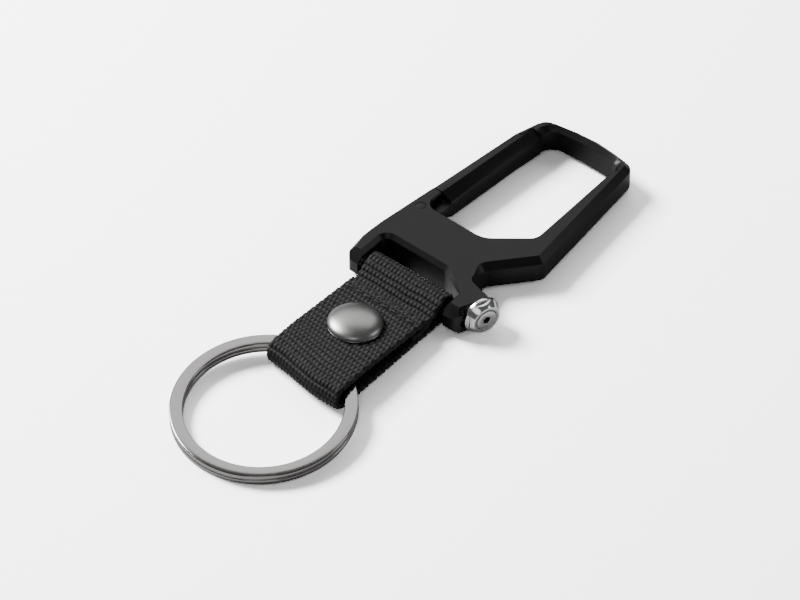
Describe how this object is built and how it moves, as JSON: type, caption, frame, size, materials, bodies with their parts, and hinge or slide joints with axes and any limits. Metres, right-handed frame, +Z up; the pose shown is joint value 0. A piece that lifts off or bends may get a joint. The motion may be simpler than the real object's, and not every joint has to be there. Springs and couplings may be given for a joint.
{
  "type": "carabiner keyring",
  "caption": "Carabiner keyring: a flat cast snap hook with a sprung gate, a webbing strap with a press-snap flap, and a split ring.",
  "frame": {"origin": "on the underside of the hook's bridge plate, on the strap's centre line, where the hook rests", "axes": "+Y from the split ring to the hook's top, +X to the lock screw's side, +Z up out of the surface it lies on"},
  "size_m": [0.0369, 0.1122, 0.0078],
  "materials": {
    "black_coat": "satin black powder coat on cast zinc",
    "gate_coat": "satin black powder coat on cast zinc",
    "bright_steel": "turned and polished steel",
    "spring_steel": "drawn spring wire",
    "bar_steel": "ground steel bar",
    "washer_black": "matt black rubber",
    "webbing": "ribbed nylon webbing",
    "thread": "bonded nylon thread",
    "cap_gunmetal": "satin gunmetal plate",
    "snap_steel": "plated steel pressing",
    "ring_gunmetal": "polished gunmetal plate"
  },
  "bodies": {
    "hook": {"carabiner_body": "black_coat", "gate_pivot_pin": "black_coat", "gate_spring": "spring_steel", "strap_bar": "bar_steel", "lock_washer": "washer_black"},
    "gate": {"gate": "gate_coat"},
    "strap": {"strap_webbing": "webbing", "strap_stitching": "thread", "snap_stud": "snap_steel", "snap_back_rivet": "snap_steel"},
    "flap": {"strap_flap": "webbing", "flap_hem_stitching": "thread", "snap_cap": "cap_gunmetal", "snap_socket": "snap_steel", "snap_socket_spring": "spring_steel"},
    "ring": {"split_ring": "ring_gunmetal"},
    "collar": {"lock_collar": "bright_steel"},
    "screw": {"lock_screw": "bright_steel"}
  },
  "joints": [
    {"name": "gate_swing", "type": "hinge", "parent": "hook", "child": "gate", "pos_m": [-0.0104, 0.0045, 0.0034], "axis": [0, 0, -1], "range_deg": [0, 23], "stiffness_Nm_per_rad": 0.03, "springref_deg": -17.19},
    {"name": "strap_swing", "type": "hinge", "parent": "hook", "child": "strap", "pos_m": [0, -0.0117, 0.0034], "axis": [1, 0, 0], "range_deg": [-100, 88]},
    {"name": "flap_open", "type": "hinge", "parent": "strap", "child": "flap", "pos_m": [0, -0.0415, 0.0057], "axis": [1, 0, 0], "range_deg": [0, 150]},
    {"name": "ring_spin", "type": "hinge", "parent": "strap", "child": "ring", "pos_m": [-0.0008, -0.0529, 0.00222], "axis": [0, -0.0593, 0.9982], "continuous": true},
    {"name": "collar_draw", "type": "slide", "parent": "hook", "child": "collar", "axis": [0.9563, -0.2924, 0], "range_m": [0, 0.004]},
    {"name": "screw_turn", "type": "hinge", "parent": "collar", "child": "screw", "pos_m": [0.01495, -0.0086, 0.00392], "axis": [0.9563, -0.2924, 0], "range_deg": [0, 2880]}
  ],
  "couplings": [
    {"joint": "screw_turn", "follows": "collar_draw", "rad_per_m": 12566}
  ]
}
